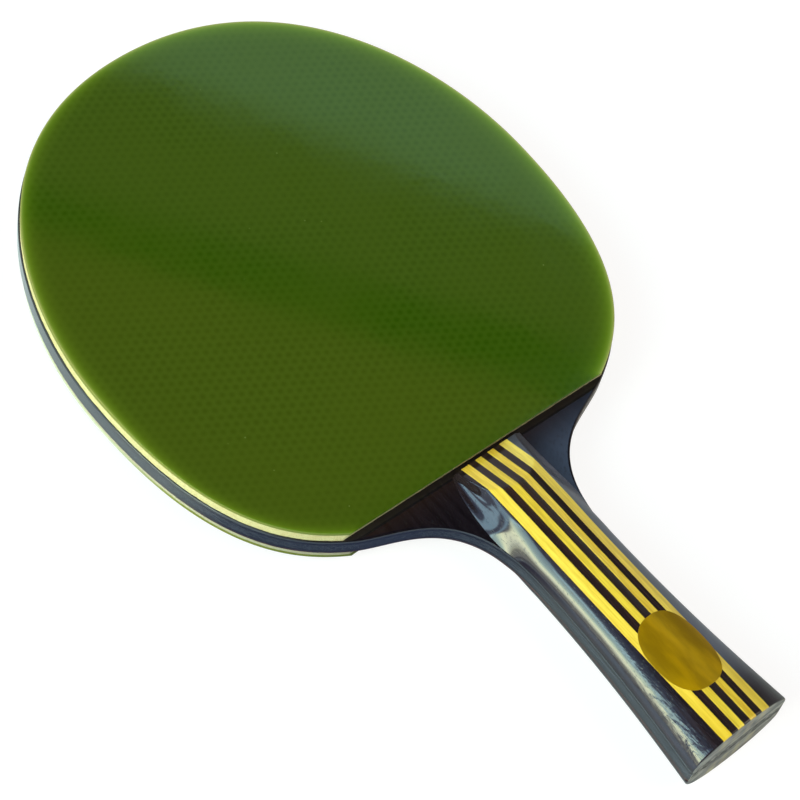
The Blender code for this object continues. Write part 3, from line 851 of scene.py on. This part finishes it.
# Directions are told apart by these coordinates: height is the sine of the angle over the
# horizon, from_left and from_right are degrees from -X and from +X towards +Y, and leaning is
# from_left less a few degrees with the height. The others are lengths along a line on a ceiling
# one unit up, where a direction meets (x/z, y/z).
LEANING_PER_HEIGHT = -9.0
LOWEST_HEIGHT = 0.02
CEILING_LINES = (("u", (1.0, 0.0)), ("v", (0.0, 1.0)), ("overhead_left", (0.826, 0.564)),
                 ("overhead_right", (0.805, 0.593)), ("overhead_far", (0.86, 0.51)))
CEILING_EDGES = (("v", 0.333, 0.339), ("height", 0.69, 0.74))

# What the bat mirrors and is lit by, all added up. Each has its colours and strengths by height,
# and its edges: a coordinate with the values where it is out and where it is full.
SURROUNDINGS = (
    # the room, by height
    (((0.0, "#C6CAD0", 1.0), (0.2, "#C6CAD0", 0.6), (0.45, "#B0B4BC", 0.22), (0.7, "#9094A0", 0.05),
      (1.0, "#808080", 0.02)),
     ()),
    # the bluish wall round the window, and its sill
    (((0.0, "#A8CEFF", 0.7), (0.3, "#A8CEFF", 1.1), (0.78, "#A8CEFF", 1.3), (0.92, "#A8CEFF", 0.0)),
     (("from_left", -36, -30), ("from_left", 46, 38))),
    (((0.0, "#FFFFE0", 1.2), (0.1, "#FFFFCC", 1.7), (0.24, "#FFFFC0", 2.4), (0.29, "#FFFFC0", 0.0)),
     (("from_left", -36, -30), ("from_left", 22, 18))),
    # the tall window: cream low down, bluish above, a bar near the top
    (((0.2, "#F8FFD8", 0.2), (0.27, "#F8FFD8", 6.5), (0.32, "#F8FFD8", 11.5),
      (0.42, "#FAFFD0", 16.5), (0.49, "#ECFFD6", 13.5), (0.56, "#DAFCE8", 8.8),
      (0.65, "#CCF2EA", 7.0), (0.74, "#C4EEEC", 5.4), (0.79, "#BCE8F0", 4.0),
      (0.812, "#A8C8E8", 0.0), (0.84, "#A8C8FF", 1.6), (0.92, "#A8D4FF", 0.8),
      (0.97, "#A8D4FF", 0.0)),
     (("from_left", -13, -10), ("leaning", 17.6, 16.6))),
    # four panes beside it: a narrow and a wide one, a short one low between them, a lowest one
    (((0.0, "#BCECFF", 4.4),),
     (("from_left", 21.4, 21.9), ("from_left", 23.2, 22.6),
      ("height", 0.26, 0.32), ("height", 0.76, 0.70))),
    (((0.0, "#C0EEFF", 5.0),),
     (("from_left", 25.2, 26.2), ("from_left", 35.6, 33.2),
      ("height", 0.22, 0.26), ("height", 0.76, 0.68))),
    (((0.0, "#C0EEFF", 5.0),),
     (("from_left", 22.9, 23.5), ("from_left", 26.2, 25.2),
      ("height", 0.15, 0.19), ("height", 0.34, 0.28))),
    (((0.0, "#BEEAFF", 5.5),),
     (("from_left", 24.2, 24.8), ("from_left", 31.0, 30.0),
      ("height", 0.04, 0.06), ("height", 0.14, 0.11))),
    # lamps high on the right, and a dim patch over the tip
    (((0.0, "#FFF2D8", 4.7),),
     (("from_right", 2, -12), ("from_right", -78, -62),
      ("height", 0.58, 0.64), ("height", 0.93, 0.86))),
    (((0.0, "#FFFFFF", 0.5),),
     (("from_left", 85, 95), ("from_left", 141, 131),
      ("height", 0.15, 0.25), ("height", 0.62, 0.55))),
    # overhead, mirrored by the sheet and the blade's face
    (((0.0, "#FFBC6B", 0.56),),
     (("overhead_left", 0.672, 0.665), *CEILING_EDGES, ("from_left", 62, 82))),
    (((0.0, "#FFC790", 0.37),), (("overhead_right", 0.692, 0.698), *CEILING_EDGES)),
    (((0.0, "#B5FFDE", 0.95),), (("overhead_far", 0.7495, 0.7575), *CEILING_EDGES)),
    (((0.0, "#B0D4FF", 2.5),),
     (("u", 0.545, 0.556), ("u", 0.62, 0.60), ("v", 0.26, 0.30), ("v", 0.331, 0.322))),
)


def build_surroundings():
    """The world: white for the camera, and the sum of the surroundings for everything else."""
    world = bpy.data.worlds.new("surroundings")
    bpy.context.scene.world = world
    world.use_nodes = True
    tree = world.node_tree
    direction = add(tree, "TexCoord", out="Generated")
    x, y, height = add(tree, "SeparateXYZ", direction).node.outputs
    degree = 180 / math.pi
    from_right = add(tree, "Math", add(tree, "Math", y, x, operation="ARCTAN2"), degree, **TIMES)
    back = add(tree, "Math", x, -1.0, **TIMES)
    from_left = add(tree, "Math", add(tree, "Math", y, back, operation="ARCTAN2"), degree, **TIMES)
    lean = add(tree, "Math", height, LEANING_PER_HEIGHT, **TIMES)
    leaning = add(tree, "Math", from_left, lean, **PLUS)
    coordinates = {
        "height": height, "from_left": from_left, "from_right": from_right, "leaning": leaning}
    up = add(tree, "Math", height, LOWEST_HEIGHT, operation="MAXIMUM")
    heights = add(tree, "CombineXYZ", up, up, up)
    ceiling = add(tree, "VectorMath", direction, heights, operation="DIVIDE")
    for name, line in CEILING_LINES:
        coordinates[name] = add(
            tree, "VectorMath", ceiling, (*line, 0.0), out="Value", operation="DOT_PRODUCT")
    total = (0.0, 0.0, 0.0)
    for stops, edges in SURROUNDINGS:
        strength = max(level for _, _, level in stops)
        ramp = add(tree, "ValToRGB", height)
        steps = ramp.node.color_ramp.elements
        steps.remove(steps[1])
        steps[0].position = stops[0][0]
        steps[0].color = linear(stops[0][1], stops[0][2] / strength)
        for place, colour, level in stops[1:]:
            steps.new(place).color = linear(colour, level / strength)
        for name, out, full in edges:
            span = (min(out, full), max(out, full))
            ends = (0.0, strength) if out < full else (strength, 0.0)
            strength = add(tree, "MapRange", coordinates[name], *span, *ends, **SMOOTH)
        source = add(tree, "VectorMath", {0: ramp, "Scale": strength}, operation="SCALE")
        total = add(tree, "VectorMath", total, source, **PLUS)
    seen = add(tree, "LightPath", out="Is Camera Ray")
    light = add(tree, "Mix", {0: seen, 6: total, 7: (1.0, 1.0, 1.0, 1.0)}, out=2, **COLOUR)
    tree.links.new(light, tree.nodes["Background"].inputs["Color"])


build_surroundings()

bpy.context.scene.view_settings.view_transform = "Standard"
